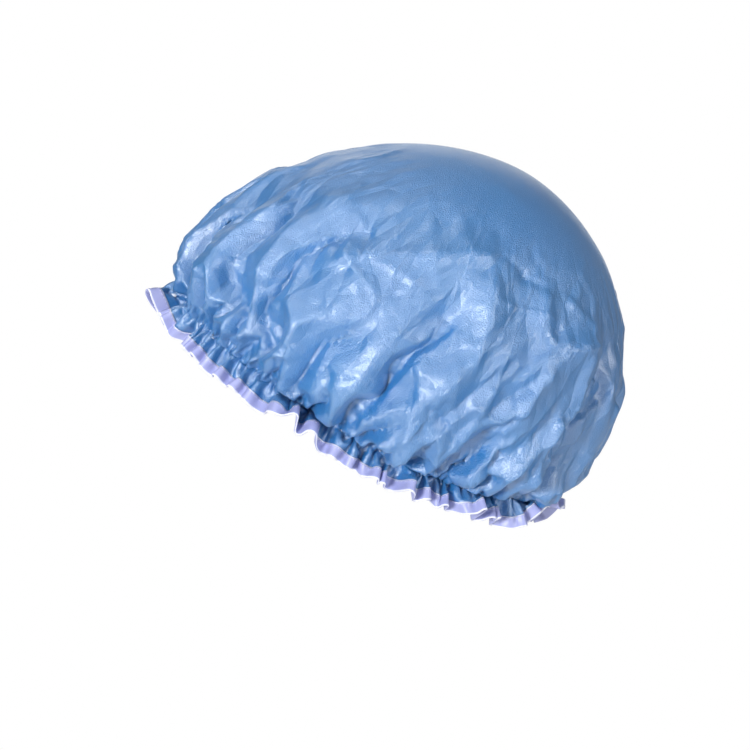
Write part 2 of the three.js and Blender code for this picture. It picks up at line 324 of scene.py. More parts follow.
# Sharper creases within them on the wearer's left: heights as shares of CREASE_SIZE, and places as degrees
# round with the fall
CREASES = [
    (-3.0, [(0, 0.78), (359, 0.94), (358, 1.16), (358, 1.47), (358, 1.61)]),
    (-2.5, [(324, 0.73), (321, 0.80), (321, 0.96), (322, 1.12), (324, 1.33), (330, 1.53)]),
    (-2.5, [(342, 0.95), (340, 1.10), (340, 1.36), (340, 1.59)]),
    (-2.5, [(345, 1.26), (347, 1.44), (350, 1.58)]),
    (-2.0, [(27, 1.15), (24, 1.44), (23, 1.80)]),
    (-2.0, [(313, 1.22), (320, 1.41), (325, 1.61)]),
    (-2.0, [(313, 1.70), (318, 1.93)]),
    (-2.5, [(14, 1.16), (12, 1.47), (13, 1.73)]),
    (-2.0, [(59, 0.68), (57, 0.74), (50, 0.79), (51, 0.89), (53, 1.00)]),
    (-1.5, [(304, 0.76), (307, 0.92), (309, 1.14)]),
    (-1.2, [(6, 0.52), (17, 0.55), (23, 0.55)]),
    (-1.2, [(348, 1.17), (354, 1.08), (358, 1.06)]),
    (1.6, [(329, 0.78), (344, 0.66), (351, 0.61), (1, 0.54), (6, 0.61), (9, 0.73), (12, 0.85)]),
    (1.5, [(324, 0.67), (321, 0.80)]),
    (2.0, [(331, 1.35), (335, 1.36), (342, 0.96)]),
    (2.0, [(46, 0.64), (36, 0.69), (31, 0.81), (30, 0.93), (30, 1.07)]),
    (2.0, [(46, 0.68), (48, 0.83), (47, 1.06)]),
    (2.0, [(18, 0.97), (28, 0.99), (28, 1.10)]),
    (1.5, [(322, 0.66), (321, 0.78), (321, 0.86)]),
    (1.5, [(310, 0.67), (312, 0.82), (315, 0.97)]),
    (1.5, [(297, 1.19), (304, 1.39), (314, 1.56)]),
    (2.0, [(3, 0.96), (6, 1.31), (5, 1.62)]),
    (1.5, [(5, 1.04), (7, 1.32), (12, 1.63)]),
    (2.0, [(37, 0.98), (38, 1.17), (40, 1.47)]),
    (1.2, [(326, 0.74), (349, 0.74)]),
    (1.1, [(330, 0.78), (340, 0.82)]),
    (1.1, [(336, 0.76), (343, 0.84)]),
    (1.3, [(359, 0.94), (9, 0.80)]),
    (1.3, [(10, 0.66), (28, 0.63)]),
    (1.3, [(34, 0.55), (47, 0.60)]),
    (1.2, [(30, 0.69), (50, 0.63)]),
    (1.2, [(352, 0.89), (359, 0.89), (359, 0.80)]),
    (1.2, [(8, 0.88), (14, 1.06)]),
    (4.2, [(43, 0.9), (45, 1.2), (49, 1.6)]),
    (-4.0, [(48, 0.95), (51, 1.2), (55, 1.6)]),
    (4.2, [(54, 0.75), (57, 1.1), (60, 1.55)]),
    (-4.0, [(61, 0.8), (63, 1.2), (66, 1.6)]),
    (2.8, [(68, 0.8), (70, 1.2), (72, 1.6)]),
    (-2.8, [(75, 0.85), (77, 1.25), (78, 1.6)]),
    (-4.0, [(33, 1.2), (34, 1.4), (37, 1.7)]),
    (2.6, [(20, 0.9), (20, 1.2), (18, 1.5)]),
    (-2.6, [(9, 1.1), (10, 1.3), (8, 1.6)]),
]
CREASE_SIZE = 1.4
CREASE_HALF_WIDTH = 2.0
CREASE_ROUNDING = 0.3
CREASE_FADE_RADII = [55, 110, 220, 232]

# The others, which fall by chance: ranges of their upper ends, their lengths in fall and their heights,
# as shares again
RANDOM_CREASES = 170
RANDOM_STARTS = (0.38, 1.6)
RANDOM_LENGTHS = (0.08, 0.36)
RANDOM_HEIGHTS = (0.4, 1.5)
RANDOM_LEAN = 40  # degrees, for one of fall
RANDOM_BEND = 3  # degrees
STANDING_OUT_SHARE = 0.6

# The wide crumples between the creases: flat facets that meet halfway between scattered places
CRUMPLES = 210
CRUMPLE_RADII = (45, 240)
CRUMPLE_SLOPE = 0.12
DOWN_SHARE = 0.5  # of lengths down the cap, by which crumples come out longer that way

# Where the gathers bunch, and the creases that fan out above each bunch
BUNCHES = 34
BUNCH_DEGREES = [15, 318, 335, 347, 42, 62, 292]  # those that the photograph shows
BUNCH_DRIFT_SHARE = 0.3  # of the others' spacing
BUNCH_CLEARANCE = 7  # degrees from those that are shown
CREASES_IN_BUNCH = 7
BUNCH_FALL = 1.93
FAN_LENGTHS = (0.2, 0.75)
FAN_SHORTENING = 0.4  # of its outer creases
FAN_HEIGHTS = (0.9, 1.9)
FAN_LEAN = 17  # degrees, of its outer creases
FAN_LEAN_SPREAD = 2
FAN_HALF_FOOT = 2.5
FAN_BEND_SHARES = (0.7, 0.5)  # of a crease's lean and of its length


def distance_to_line(points, line):
    """From each of the points (3, rows, columns) to a line through a few places (3, n)."""
    nearest = np.full(points.shape[1:], np.inf, np.float32)
    for start, end in zip(line.T[:-1], line.T[1:]):
        run = (end - start).astype(np.float32)[:, None, None]
        off = points - start.astype(np.float32)[:, None, None]
        share = np.clip((off * run).sum(0) / (run * run).sum(), 0, 1)
        gap = off - share * run
        nearest = np.minimum(nearest, (gap * gap).sum(0))
    return np.sqrt(nearest)


def places_on_crown(places):
    degrees, falls = np.array(places, float).T
    return crown_point(np.radians(degrees), falls)


def fold_heights(base):
    """How far the main folds stand out from points of the smooth cap."""
    height = np.zeros(base.shape[1:], np.float32)
    for turned in FOLD_TURN_SHARES:
        for share, places in FOLD_SHARES:
            line = places_on_crown([(360 * (turned + turn), fall) for turn, fall in places])
            height += share * np.exp(-(distance_to_line(base, line) / FOLD_HALF_WIDTH) ** 2)
    return FOLD_HEIGHT * height


def gather_wave(columns):
    even = TURN * np.arange(columns) / columns
    swell = (1 + np.sin(GATHER_SWELLS * even)) / 2
    size = SHALLOWEST_GATHER + (1 - SHALLOWEST_GATHER) * swell
    return size * math.sqrt(2) * np.cos(GATHER_COUNT * even + math.pi / 4)


def gather_heights(radii, columns):
    """How far the main gathers stand out, as the solids have them."""
    return GATHER_DEPTH * smoothstep(radii, *GATHER_GROWTH_RADII)[:, None] * gather_wave(columns)


def ruffle_heights(radii, columns):
    """How far the frill swings to each side, as the solids have it, and the places where it flips."""
    turns = column_angles(columns) / TURN
    height = RUFFLE_DEPTH * gather_wave(columns)
    for at, half_width, high in FLIPS:
        off = (turns - at + 0.5) % 1 - 0.5
        height = height + high * np.exp(-(off / half_width) ** 2)
    past = np.maximum(radii - NECK_RADIUS, 0) / (EDGE_RADIUS - NECK_RADIUS)
    return past[:, None] * height


def random_crease(random):
    """A short crease somewhere on the crown, mostly running down it."""
    degrees, fall = random.uniform(0, 360), random.uniform(*RANDOM_STARTS)
    length = random.uniform(*RANDOM_LENGTHS)
    lean = random.normal(0, RANDOM_LEAN) * length
    bend = random.normal(0, RANDOM_BEND)
    height = random.uniform(*RANDOM_HEIGHTS) * (1 if random.random() < STANDING_OUT_SHARE else -1)
    middle = (degrees + lean / 2 + bend, fall + length / 2)
    return height, [(degrees, fall), middle, (degrees + lean, fall + length)]


def bunch_creases(random, degrees):
    """The creases that fan out above one bunch of gathers, standing out and in by turns."""
    creases = []
    for i in range(CREASES_IN_BUNCH):
        fan = (2 * i + 1) / CREASES_IN_BUNCH - 1
        length = random.uniform(*FAN_LENGTHS) * (1 - FAN_SHORTENING * abs(fan))
        lean = FAN_LEAN * fan + random.normal(0, FAN_LEAN_SPREAD)
        height = random.uniform(*FAN_HEIGHTS) * (1 if i % 2 else -1)
        foot = degrees + FAN_HALF_FOOT * fan
        bend = (foot + lean * FAN_BEND_SHARES[0], BUNCH_FALL - FAN_BEND_SHARES[1] * length)
        creases.append((height, [(foot, BUNCH_FALL), bend, (foot + lean, BUNCH_FALL - length)]))
    return creases


def clear_of_bunches(degrees):
    return min(abs((degrees - b + 180) % 360 - 180) for b in BUNCH_DEGREES) > BUNCH_CLEARANCE


def all_creases():
    random = np.random.default_rng(CREASE_SEED)
    creases = CREASES + [random_crease(random) for _ in range(RANDOM_CREASES)]
    drift = random.uniform(-BUNCH_DRIFT_SHARE, BUNCH_DRIFT_SHARE, BUNCHES)
    others = 360 * (np.arange(BUNCHES) + drift) / BUNCHES
    for degrees in BUNCH_DEGREES + [other for other in others if clear_of_bunches(other)]:
        creases += bunch_creases(random, degrees)
    return creases


def crease_heights(base):
    """The sharp creases' heights over points of the smooth cap."""
    height = np.zeros(base.shape[1:], np.float32)
    for high, places in all_creases():
        distance = distance_to_line(base, places_on_crown(places))
        rounded = np.sqrt(distance ** 2 + CREASE_ROUNDING ** 2) - CREASE_ROUNDING
        height += high * np.exp(-rounded / CREASE_HALF_WIDTH)
    return CREASE_SIZE * height


def drawn_out(angles, radii):
    """Coordinates (3, n) whose features are drawn out down the cap, as its folds are."""
    return np.stack([CROWN_HALF[0] * np.cos(angles), CROWN_HALF[0] * np.sin(angles), DOWN_SHARE * radii])


def crumple_heights(radii, columns):
    """How far the facets stand out: their middles do, and the lines where they meet lie in."""
    random = np.random.default_rng(CRUMPLE_SEED)
    turns, spots = random.uniform(0, TURN, CRUMPLES), random.uniform(*CRUMPLE_RADII, CRUMPLES)
    places = drawn_out(turns, spots)
    apart = np.sqrt(((places[:, :, None] - places[:, None]) ** 2).sum(0))
    each = np.arange(columns)
    to_line = np.empty((len(radii), columns), np.float32)
    for row, radius in enumerate(radii):
        here = drawn_out(column_angles(columns), np.full(columns, radius))
        squares = ((here[:, :, None] - places[:, None]) ** 2).sum(0)
        nearest = squares.argmin(1)
        squares -= squares[each, nearest][:, None]
        squares[each, nearest] = np.inf
        to_line[row] = (squares / (2 * apart[nearest] + TINY)).min(1)
    return CRUMPLE_SLOPE * (to_line - to_line.mean())


# The cloth


class Cloth:
    """A grid of points that keep their distances and lie near the smooth cap."""

    def __init__(self, columns, radii, given):
        """given is how much of the excess is there."""
        angles = column_angles(columns)
        self.smooth = smooth_cap(angles, radii).astype(np.float32)
        self.normals = surface_frame(self.smooth).astype(np.float32)
        fade = 1 - smoothstep(radii, *FOLD_FADE_RADII)[:, None]
        folds = fade * fold_heights(self.smooth) + gather_heights(radii, columns)
        ruffles = ruffle_heights(radii, columns) * self.normals
        self.base = (self.smooth + folds * level_outwards(angles) + ruffles).astype(np.float32)
        smooth_round = self.lengths_across(self.smooth).sum(1)
        folded = self.lengths_across(self.base)
        share = smooth_round * np.interp(radii, EXCESS_RADII, EXCESS_SHARES) / folded.sum(1)
        share = np.maximum(share, np.interp(radii, LEAST_EXCESS_RADII, LEAST_EXCESS_SHARES))
        self.across = folded * (1 + given * (share - 1))[:, None].astype(np.float32)
        middles = 0.5 * (radii[1:] + radii[:-1])
        self.down = step_lengths(self.base) * by_row(middles, DOWN_EXCESS_RADII, DOWN_EXCESS_SHARES)
        self.round = unit(np.roll(self.smooth, -1, 2) - self.smooth)
        self.run = unit(np.diff(self.smooth, axis=1))
        level = 0.5 * (self.across[:-1] + self.across[1:])
        self.slant = np.sqrt(level ** 2 + self.down ** 2)
        self.low = by_row(radii, LIMIT_RADII, LIMIT_IN)
        self.high = by_row(radii, LIMIT_RADII, LIMIT_OUT)
        self.side = by_row(radii, LIMIT_RADII, LIMIT_SIDE)
        self.beside_elastic = np.flatnonzero((radii > ELASTIC_ROWS[0]) & (radii < ELASTIC_ROWS[1]))
        self.level = level_outwards(angles)
        self.find_groove(radii)

    def find_groove(self, radii):
        """The plane halfway between the crown and the frill, at each column, as a point and a normal."""
        self.beside_groove = np.flatnonzero((radii > GROOVE_RADII[0]) & (radii < GROOVE_RADII[1]))
        self.past_groove = (radii[self.beside_groove] - NECK_RADIUS)[:, None]
        self.groove = self.base[:, [int(np.argmin(abs(radii - NECK_RADIUS)))]]
        above, below = (self.base[:, [self.beside_groove[end]]] - self.groove for end in (0, -1))
        self.groove_normal = unit(unit(above) - unit(below))

    @staticmethod
    def lengths_across(points):
        return length(np.roll(points, -1, 2) - points)

    @staticmethod
    def share_of(gap, rest, only_push=False):
        long = length(gap) + TINY
        over = long - rest
        return (np.minimum(over, 0) if only_push else over) / long

    def pull_across(self, points, step, rest, strength, only_push=False):
        gap = np.roll(points, -step, 2) - points
        gap *= 0.5 * strength * self.share_of(gap, rest, only_push)
        points += gap
        points -= np.roll(gap, step, 2)

    def pull_down(self, points, strength):
        gap = points[:, 1:] - points[:, :-1]
        gap *= 0.5 * strength * self.share_of(gap, self.down)
        points[:, :-1] += gap
        points[:, 1:] -= gap

    def pull_slant(self, points, side, strength):
        gap = np.roll(points[:, 1:], -side, 2) - points[:, :-1]
        gap *= 0.5 * strength * self.share_of(gap, self.slant)
        points[:, :-1] += gap
        points[:, 1:] -= np.roll(gap, side, 2)

    @staticmethod
    def stiffen(points, across, down):
        """Takes out part of the sharpest bends."""
        bend = np.roll(points, 1, 2) + np.roll(points, -1, 2) - 2 * points
        points -= across * (np.roll(bend, 1, 2) + np.roll(bend, -1, 2) - 2 * bend)
        bend = points[:, 2:] + points[:, :-2] - 2 * points[:, 1:-1]
        points[:, 1:-1] += 2 * down * bend
        points[:, 2:] -= down * bend
        points[:, :-2] -= down * bend

    def keep_advancing(self, points):
        """Keeps each point past the one before it, round the cap and down it."""
        gap = np.roll(points, -1, 2) - points
        push = 0.5 * np.maximum(LEAST_ADVANCE * self.across - (gap * self.round).sum(0), 0) * self.round
        points -= push
        points += np.roll(push, 1, 2)
        gap = points[:, 1:] - points[:, :-1]
        push = 0.5 * np.maximum(LEAST_ADVANCE * self.down - (gap * self.run).sum(0), 0) * self.run
        points[:, :-1] -= push
        points[:, 1:] += push

    def untangled(self, points):
        for _ in range(UNTANGLING_STEPS):
            self.keep_advancing(points)
        return points

    def keep_near(self, points, wanted, hold):
        off = points - self.base
        height = (off * self.normals).sum(0)
        side = off - height * self.normals
        side *= np.minimum(1, self.side / (length(side) + TINY))
        height = np.clip(height + (wanted - height) * hold, self.low, self.high)
        points = self.base + side + height * self.normals
        rows = self.beside_elastic
        out = ((points[:, rows] - self.smooth[:, rows]) * self.level).sum(0)
        points[:, rows] += np.maximum(DEEPEST_AT_ELASTIC - out, 0) * self.level
        return points

    def parted(self, points):
        """Keeps the crown above the groove and the frill below it."""
        rows = self.beside_groove
        off = ((points[:, rows] - self.groove) * self.groove_normal).sum(0)
        over = -GROOVE_ROOM_SHARE * self.past_groove - off
        over = np.where(self.past_groove < 0, np.maximum(over, 0), np.minimum(over, 0))
        points[:, rows] += over * self.groove_normal
        return points

    def settle(self, points, steps, across, down, wanted, hold):
        before = points.copy()
        for _ in range(steps):
            moved = points + MOMENTUM * (points - before)
            before = points
            points = moved
            self.pull_across(points, 1, self.across, ACROSS_PULL)
            self.pull_down(points, DOWN_PULL)
            self.pull_across(points, 1, self.across, ACROSS_PULL)
            self.pull_slant(points, 1, SLANT_PULL)
            self.pull_slant(points, -1, SLANT_PULL)
            self.stiffen(points, across, down)
            self.pull_across(points, APART_COLUMNS, APART_SHARE * self.across, APART_PULL, only_push=True)
            self.keep_advancing(points)
            points = self.keep_near(points, wanted, hold)
        return points


def midway(points, axis):
    """The points halfway between neighbours, on a smooth curve through four of them."""
    if axis == 2:
        a, b, c, d = (np.roll(points, shift, 2) for shift in (1, 0, -1, -2))
    else:
        first = 2 * points[:, :1] - points[:, 1:2]
        last = 2 * points[:, -1:] - points[:, -2:-1]
        all_rows = np.concatenate([first, points, last], 1)
        a, b, c, d = all_rows[:, :-3], all_rows[:, 1:-2], all_rows[:, 2:-1], all_rows[:, 3:]
    return (9 * (b + c) - a - d) / 16


def finer(points):
    """The same surface with twice the columns and rows."""
    wide = np.empty((3, points.shape[1], 2 * points.shape[2]), points.dtype)
    wide[:, :, 0::2] = points
    wide[:, :, 1::2] = midway(points, 2)
    fine = np.empty((3, 2 * points.shape[1] - 1, wide.shape[2]), points.dtype)
    fine[:, 0::2] = wide
    fine[:, 1::2] = midway(wide, 1)
    return fine


# Steps, stiffness across and down, and how strongly the wanted folds hold, by level
SETTLING = [
    (600, 0.001, 0.001, [0.2, 0.05, 0.01, 0.002, 0.001, 0, 0]),
    (600, 0.001, 0.001, [0.2, 0.05, 0.005, 0.001, 0.001, 0, 0]),
    (500, 0.002, 0.002, [0.2, 0.05, 0.002, 0, 0, 0, 0]),
    (250, 0.004, 0.004, [0.2, 0.05, 0.002, 0, 0, 0, 0]),
]


# How the soft folds are pressed into flat facets that meet in sharp ridges
FACET_ROUNDS = 32
FACET_ANGLE = 0.17  # between neighbouring normals, in radians: past it an edge is kept
FACET_REACHES = [(0, 1), (0, 2), (1, 0), (1, 1), (1, -1)]  # rows and columns
FACET_FADE_RADII = [60, 110, 212, 226]
EVENING_ROUNDS = 4  # that take the jags out of the ridges
EVENING = 0.06


def shifted(points, rows, columns):
    moved = np.roll(points, -columns, 2)
    index = np.clip(np.arange(points.shape[1]) + rows, 0, points.shape[1] - 1)
    return moved[:, index]


def facetted(points, radii):
    """Evens out the normals where they differ little, and moves the points to suit them."""
    normals = surface_frame(points)
    both_ways = [(sign * r, sign * c) for r, c in FACET_REACHES for sign in (1, -1)]
    for _ in range(FACET_ROUNDS):
        total = normals.copy()
        for rows, columns in both_ways:
            other = shifted(normals, rows, columns)
            apart = ((normals - other) ** 2).sum(0)
            total += np.exp(-apart / (2 * FACET_ANGLE ** 2)) * other
        normals = unit(total)
    pressed = points.copy()
    for _ in range(FACET_ROUNDS):
        move = np.zeros_like(pressed)
        for rows, columns in both_ways:
            plane = shifted(normals, rows, columns)
            gap = shifted(pressed, rows, columns) - pressed
            move += (gap * plane).sum(0) * plane
        pressed += move / len(both_ways)
    for _ in range(EVENING_ROUNDS):
        Cloth.stiffen(pressed, EVENING, EVENING)
    return points + by_row(radii, FACET_FADE_RADII, [0, 1, 1, 0]) * (pressed - points)


def simulate_cloth():
    """The settled cloth's points, as (3, rows, columns)."""
    all_radii = row_radii()
    points = None
    for level in range(LEVELS):
        radii = all_radii[::1 << (LEVELS - 1 - level)]
        columns = FIRST_COLUMNS << level
        cloth = Cloth(columns, radii, LEVEL_SHARES[level])
        shapes = [wave(radii, columns) for wave in gathers[:GATHERS_BY_LEVEL[level]]]
        wanted = sum(shapes)
        if points is None:
            rough = ROUGHNESS * random.standard_normal(wanted.shape)
            points = cloth.base + (wanted + rough) * cloth.normals
        else:
            new_shapes = sum(shapes[GATHERS_BY_LEVEL[level - 1]:], np.zeros_like(wanted))
            rough = ROUGHNESS / 2 ** level * random.standard_normal(wanted.shape)
            points = finer(points) + (new_shapes + rough) * cloth.normals
        steps, across, down, holds = SETTLING[level]
        hold = by_row(radii, HOLD_RADII, holds)
        points = cloth.settle(points.astype(np.float32), steps, across, down, wanted, hold)
    points = facetted(points, radii)
    fade = by_row(radii, CREASE_FADE_RADII, [0, 1, 1, 0])
    heights = fade * (crease_heights(cloth.smooth) + crumple_heights(radii, columns))
    return cloth.parted(cloth.untangled(points + heights * cloth.normals))


def with_top(points):
    """Adds the smooth rows inside the first simulated one."""
    radii = row_radii()
    gap = radii[1] - radii[0]
    top_radii = np.arange(gap, TOP_RADIUS - gap / 2, gap)
    top = smooth_cap(column_angles(points.shape[2]), top_radii)
    return np.concatenate([top_radii, radii]), np.concatenate([top, points], 1)


# Meshes


def to_frame(points):
    """From the cap's upright frame in millimetres to the tilted one in metres."""
    c, s = math.cos(OPENING_TILT), math.sin(OPENING_TILT)
    x, y, z = points
    return np.stack([x, y * c + z * s, z * c - y * s]) * MM


def in_scene(name, data):
    made = bpy.data.objects.new(name, data)
    bpy.context.scene.collection.objects.link(made)
    return made


def mesh_object(name, points, faces, coordinates=None):
    """points is (n, 3) in metres, faces a list of int arrays (n, 3) or (n, 4), coordinates (n, 2)."""
    mesh = bpy.data.meshes.new(name)
    mesh.vertices.add(len(points))
    mesh.vertices.foreach_set("co", np.ascontiguousarray(points, np.float32).ravel())
    loops = np.concatenate([f.ravel() for f in faces]).astype(np.int32)
    sizes = np.concatenate([np.full(len(f), f.shape[1]) for f in faces])
    mesh.loops.add(len(loops))
    mesh.loops.foreach_set("vertex_index", loops)
    mesh.polygons.add(len(sizes))
    starts = np.concatenate([[0], np.cumsum(sizes)[:-1]]).astype(np.int32)
    mesh.polygons.foreach_set("loop_start", starts)
    mesh.polygons.foreach_set("use_smooth", np.ones(len(sizes), bool))
    if coordinates is not None:
        layer = mesh.uv_layers.new(name="flat")
        layer.data.foreach_set("uv", np.ascontiguousarray(coordinates[loops], np.float32).ravel())
    mesh.update(calc_edges=True)
    mesh.validate()
    return in_scene(name, mesh)


FINE_RADIUS = 220
DRAWN_IN_SHARE = 0.6  # of the spacing that the columns have in the flat cut
LEAST_SPACING = 1.1  # between a row's points near the top
MOST_STEP = 1 << LEVELS  # of columns, so that even the top row has some points


class Grid:
    """Which points of the cloth a face of a sheet uses, and its triangles. The crown's rows use every
    step-th point and are skip rows apart. The gathers and the frill use all."""

    def __init__(self, radii, columns, step, skip):
        self.columns = columns
        self.rows, self.steps = [], []
        row = 0
        while row < len(radii):
            fine = radii[row] > FINE_RADIUS
            spacing = DRAWN_IN_SHARE * TURN * radii[row] / columns
            wider = 2 ** math.ceil(math.log2(LEAST_SPACING / spacing))
            self.rows.append(row)
            self.steps.append(1 if fine else min(max(step, wider), MOST_STEP))
            row += 1 if fine or row + skip >= len(radii) else skip
        counts = [columns // step for step in self.steps]
        self.starts = np.concatenate([[1], 1 + np.cumsum(counts)])
        self.count = int(self.starts[-1])

    def take(self, points, apex):
        """The used points as (n, 3): the apex, then row by row."""
        parts = [points[:, row, ::step] for row, step in zip(self.rows, self.steps)]
        return np.concatenate([apex[:, None]] + parts, 1).T

    def faces(self, first=0, flip=False):
        ring = self.starts[0] + np.arange(self.columns // self.steps[0])
        triangles = [np.stack([np.zeros_like(ring), ring, np.roll(ring, -1)], 1)]
        quads = []
        for i in range(len(self.rows) - 1):
            upper, lower = self.steps[i], self.steps[i + 1]
            above = self.starts[i] + np.arange(self.columns // upper)
            after = np.roll(above, -1)
            below = self.starts[i + 1] + np.arange(self.columns // lower)
            if upper == lower:
                quads.append(np.stack([above, below, np.roll(below, -1), after], 1))
                continue
            ratio = upper // lower
            below_after = np.roll(below, -1).reshape(-1, ratio)
            below = below.reshape(-1, ratio)
            for k in range(ratio):
                top = above if k < ratio // 2 else after
                triangles.append(np.stack([top, below[:, k], below_after[:, k]], 1))
            triangles.append(np.stack([above, below[:, ratio // 2], after], 1))
        out = [np.concatenate(triangles), np.concatenate(quads)]
        return [first + (f[:, ::-1] if flip else f) for f in out]


def flat_places(radii, angles):
    """Where the points lie in the flat cut, in metres, as (2, rows, columns)."""
    return radii[None, :, None] * np.stack([np.cos(angles), np.sin(angles)])[:, None, :] * MM


def sheet_object(name, radii, outer_face, inner_face):
    """A thin closed sheet over the whole cap. Each face is its points (3, rows, columns) and its grid."""
    columns = outer_face[0].shape[2]
    flat = flat_places(radii, column_angles(columns))
    faces, corners, coordinates = [], [], []
    for (points, grid), flip in ((outer_face, False), (inner_face, True)):
        faces += grid.faces(sum(len(c) for c in corners), flip)
        apex = points[:, 0].mean(1)
        corners.append(to_frame(grid.take(points, apex).T).T)
        coordinates.append(grid.take(flat, np.zeros(2)))
    edge = len(corners[0]) - columns + np.arange(columns)
    inner_edge = edge + len(corners[1])
    faces.append(np.stack([edge, inner_edge, np.roll(inner_edge, -1), np.roll(edge, -1)], 1))
    return mesh_object(name, np.concatenate(corners), faces, np.concatenate(coordinates))


def strip_object(name, sections):
    """A closed strip. sections is (3, steps, points round), each a closed outline, in the cap's frame."""
    _, steps, around = sections.shape
    points = to_frame(sections.reshape(3, -1)).T
    index = np.arange(steps * around).reshape(steps, around)
    after = np.roll(index, -1, 1)
    faces = [np.stack([index[:-1], after[:-1], after[1:], index[1:]], -1).reshape(-1, 4)]
    k = np.arange(around // 2 - 1)
    for end in (index[0][::-1], index[-1]):
        faces.append(np.stack([end[k], end[k + 1], end[-2 - k], end[-1 - k]], 1))
    across = running_total(step_lengths(sections, 2).mean(0))
    along = running_total(step_lengths(sections.mean(2)))
    coordinates = np.stack(np.broadcast_arrays(along[:, None] * MM, across[None, :] * MM), -1)
    return mesh_object(name, points, faces, coordinates.reshape(-1, 2))


# The pieces

COVER_THICKNESS = 0.2
FILM_THICKNESS = 0.15
SEAM_GAP = 0.06  # between the two where they are sewn together
CROWN_GAP = 0.5  # and between them on the crown, where the film lies loose
COVER_STEP = 2  # columns between the cover's points on the crown
COVER_SKIP = 1  # and rows
UNDER_STEP = 4  # columns between the points that the layers under the cover use on the crown
UNDER_SKIP = 2  # and rows
UNDER_FADE_RADII = (221, 229)
RIBBON_STAND_OFF = 0.36  # from the cloth's middle to the ribbon's near face
RIBBON_THICKNESS = 0.16
RIBBON_EDGE = 0.16  # how much its woven edges stand up
RIBBON_FOLD = 0.3  # how far its fold lies past the cloth's edge
RIBBON_LAP = 9.0
RIBBON_LAP_GAP = 0.12
FOLD_STEPS = 6  # round the fold
HIGHLIGHT_LINE_HALF_WIDTH = 0.6  # half the width of the painted highlight line along its edges and its fold


def beneath(radii, points):
    """The cloth's points let down to the lowest of their neighbours on the crown, for the layers under the
    cover, which have fewer points and would else show through it."""
    smooth = smooth_cap(column_angles(points.shape[2]), radii)
    normals = surface_frame(smooth)
    heights = ((points - smooth) * normals).sum(0)
    lowest = heights.copy()
    for step in range(1, UNDER_STEP + 1):
        lowest = np.minimum(lowest, np.minimum(np.roll(heights, step, 1), np.roll(heights, -step, 1)))
    for _ in range(UNDER_SKIP):
        lowest[1:] = np.minimum(lowest[1:], lowest[:-1])
        lowest[:-1] = np.minimum(lowest[:-1], lowest[1:])
    share = 1 - smoothstep(radii, *UNDER_FADE_RADII)[:, None]
    return points + share * (lowest - heights) * normals


def make_cover(radii, points, normals, under, under_normals):
    columns = points.shape[2]
    inner = np.full(len(radii), SEAM_GAP / 2)
    outer = inner + COVER_THICKNESS
    outer_face = (points + outer[:, None] * normals, Grid(radii, columns, COVER_STEP, COVER_SKIP))
    inner_face = (under + inner[:, None] * under_normals, Grid(radii, columns, UNDER_STEP, UNDER_SKIP))
    return sheet_object("gathered_cover", radii, outer_face, inner_face)


def make_lining(radii, under, under_normals):
    gap = np.interp(radii, UNDER_FADE_RADII, [CROWN_GAP, SEAM_GAP / 2])[:, None]
    grid = Grid(radii, under.shape[2], UNDER_STEP, UNDER_SKIP)
    outer_face = (under - gap * under_normals, grid)
    inner_face = (under - (gap + FILM_THICKNESS) * under_normals, grid)
    return sheet_object("gathered_lining", radii, outer_face, inner_face)


def make_ribbon(radii, points, normals):
    """A ribbon folded over the edge, whose last end lies over the first at the nape."""
    first = int(np.argmin(abs(radii - (EDGE_RADIUS - RIBBON_WIDTH))))
    rows = np.arange(first, len(radii))
    columns = points.shape[2]
    pitch = length(np.roll(points[:, -1], -1, 1) - points[:, -1]).mean()
    lap = int(round(RIBBON_LAP / pitch))
    order = (columns // 4 + np.arange(columns + lap)) % columns
    lift = np.where(np.arange(columns + lap) >= columns - 2, RIBBON_THICKNESS + RIBBON_LAP_GAP, 0.0)
    cloth = points[:, rows][:, :, order]
    out = normals[:, rows][:, :, order]
    edge, edge_out = cloth[:, -1], out[:, -1]
    run = unit(cloth[:, -1] - cloth[:, -3])
    near = RIBBON_STAND_OFF + lift
    far = near + RIBBON_THICKNESS
    woven_edge = np.zeros((len(rows), 1))
    woven_edge[:2] = RIBBON_EDGE
    fold = RIBBON_FOLD + lift

    def outline(distance, reach, raised):
        """From the first face's edge round the fold to the second's."""
        parts = [cloth + raised * out]
        for bend in np.linspace(-1, 1, FOLD_STEPS + 1)[1:-1]:
            turn = bend * math.pi / 2
            place = edge - math.sin(turn) * distance * edge_out + math.cos(turn) * reach * run
            parts.append(place[:, None])
        parts.append((cloth - raised * out)[:, ::-1])
        return np.concatenate(parts, 1)

    outer = outline(far, fold + RIBBON_THICKNESS, far + woven_edge)
    inner = outline(near, fold, near)
    section = np.concatenate([outer, inner[:, ::-1]], 1)
    return strip_object("edge_ribbon", section.transpose(0, 2, 1))


ELASTIC_WIDTH = 6.0
ELASTIC_THICKNESS = 0.8
ELASTIC_STAND_OFF = 0.1
ELASTIC_CORDS = 6
ELASTIC_STEPS = 900
ELASTIC_LAP = 18.0
ELASTIC_LAP_GAP = 0.15
CORD_RISE = 0.09
CORD_POINTS = 4
BAND_ROUNDING_SHARE = 0.25  # of its thickness, at its edges
BAND_ROUNDING_POWER = 8


